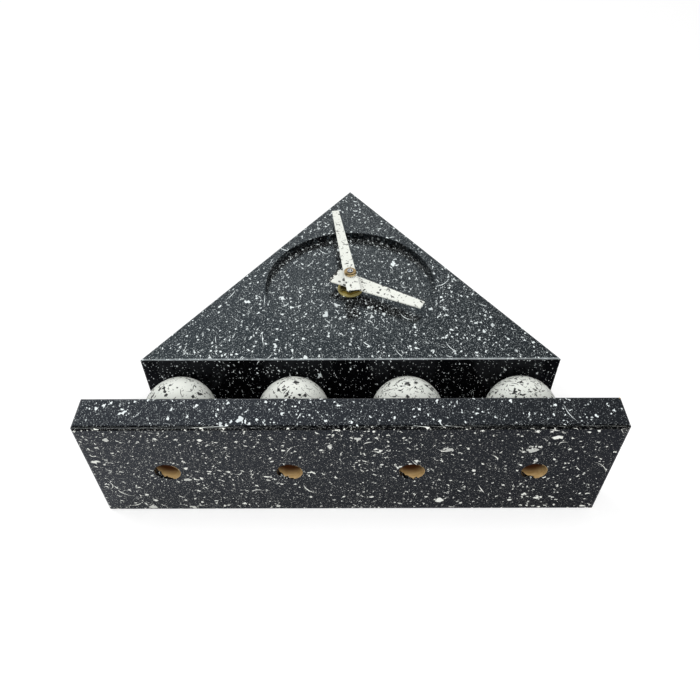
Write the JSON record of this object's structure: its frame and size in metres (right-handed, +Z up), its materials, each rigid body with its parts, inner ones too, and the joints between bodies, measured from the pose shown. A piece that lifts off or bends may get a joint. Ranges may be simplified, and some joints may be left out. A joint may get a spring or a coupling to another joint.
{
  "type": "desk clock",
  "caption": "Temple-shaped quartz desk clock: splattered black triangular pediment with a sunk dial and tapered hands, on white balls and a base board.",
  "frame": {"origin": "middle of the underside of the base board", "axes": "+Z up, +X along the board to the right as seen from the front, dial faces -Y"},
  "size_m": [0.265, 0.073, 0.2252],
  "materials": {
    "black_lacquer": "black lacquer on wood with fine white splatter",
    "white_lacquer": "white lacquer on wood with black splatter",
    "hand_white": "ivory white paint with a few black specks",
    "brass": "bright turned brass",
    "steel": "bright plated steel",
    "movement_plastic": "black moulded plastic",
    "train_plastic": "natural acetal plastic",
    "gasket_rubber": "black rubber",
    "magnet": "dark sintered magnet",
    "soft_iron": "annealed soft iron",
    "copper": "enamelled copper wire",
    "circuit_green": "green circuit laminate",
    "chip_black": "black epoxy",
    "cell_sleeve": "plain dark battery sleeve with a copper-coloured end"
  },
  "bodies": {
    "clock_body": {"base_board": "black_lacquer", "ball_1": "white_lacquer", "ball_2": "white_lacquer", "ball_3": "white_lacquer", "ball_4": "white_lacquer", "assembly_screws": "steel", "pediment": "black_lacquer", "movement_case": "movement_plastic", "movement_cover": "movement_plastic", "threaded_bush": "steel", "rubber_gasket": "gasket_rubber", "dial_washer": "brass", "dial_nut": "brass", "gear_bridge": "train_plastic", "stator": "soft_iron", "coil_core": "soft_iron", "coil_bobbin": "train_plastic", "coil_winding": "copper", "circuit_board": "circuit_green", "control_chip": "chip_black", "quartz_crystal": "steel", "positive_contact": "steel", "negative_contact": "steel", "battery": "cell_sleeve"},
    "minute_body": {"minute_arbor": "steel", "minute_hand": "hand_white", "hand_nut": "brass"},
    "hour_body": {"hour_wheel": "train_plastic", "hour_hand": "hand_white"},
    "motion_body": {"motion_wheel": "train_plastic"},
    "knob_body": {"setting_knob": "movement_plastic"},
    "second_body": {"second_wheel": "train_plastic"},
    "centre_body": {"centre_wheel": "train_plastic"},
    "third_body": {"third_wheel": "train_plastic"},
    "intermediate_body": {"intermediate_wheel": "train_plastic"},
    "rotor_body": {"rotor": "magnet"}
  },
  "joints": [
    {"name": "minute_turn", "type": "hinge", "parent": "clock_body", "child": "minute_body", "pos_m": [0, 0, 0.1227], "axis": [0, 1, 0], "continuous": true},
    {"name": "hour_turn", "type": "hinge", "parent": "clock_body", "child": "hour_body", "pos_m": [0, 0, 0.1227], "axis": [0, 1, 0], "continuous": true},
    {"name": "motion_turn", "type": "hinge", "parent": "clock_body", "child": "motion_body", "pos_m": [-0.00873, 0, 0.12774], "axis": [0, 1, 0], "continuous": true},
    {"name": "knob_turn", "type": "hinge", "parent": "clock_body", "child": "knob_body", "pos_m": [-0.01645, 0, 0.13422], "axis": [0, 1, 0], "continuous": true},
    {"name": "rotor_turn", "type": "hinge", "parent": "clock_body", "child": "rotor_body", "pos_m": [0.01125, 0, 0.12441], "axis": [0, 1, 0], "continuous": true},
    {"name": "intermediate_turn", "type": "hinge", "parent": "clock_body", "child": "intermediate_body", "pos_m": [0.00643, 0, 0.12036], "axis": [0, 1, 0], "continuous": true},
    {"name": "second_turn", "type": "hinge", "parent": "clock_body", "child": "second_body", "pos_m": [0, 0, 0.1227], "axis": [0, 1, 0], "continuous": true},
    {"name": "third_turn", "type": "hinge", "parent": "clock_body", "child": "third_body", "pos_m": [0.0054, 0, 0.13205], "axis": [0, 1, 0], "continuous": true},
    {"name": "centre_turn", "type": "hinge", "parent": "clock_body", "child": "centre_body", "pos_m": [0, 0, 0.1227], "axis": [0, 1, 0], "continuous": true}
  ],
  "couplings": [
    {"joint": "hour_turn", "follows": "minute_turn", "ratio": 0.083333},
    {"joint": "motion_turn", "follows": "minute_turn", "ratio": -0.33333},
    {"joint": "knob_turn", "follows": "minute_turn", "ratio": 1},
    {"joint": "intermediate_turn", "follows": "rotor_turn", "ratio": -0.16667},
    {"joint": "second_turn", "follows": "rotor_turn", "ratio": 0.033333},
    {"joint": "third_turn", "follows": "rotor_turn", "ratio": -0.0044444},
    {"joint": "centre_turn", "follows": "rotor_turn", "ratio": 0.00055556}
  ]
}
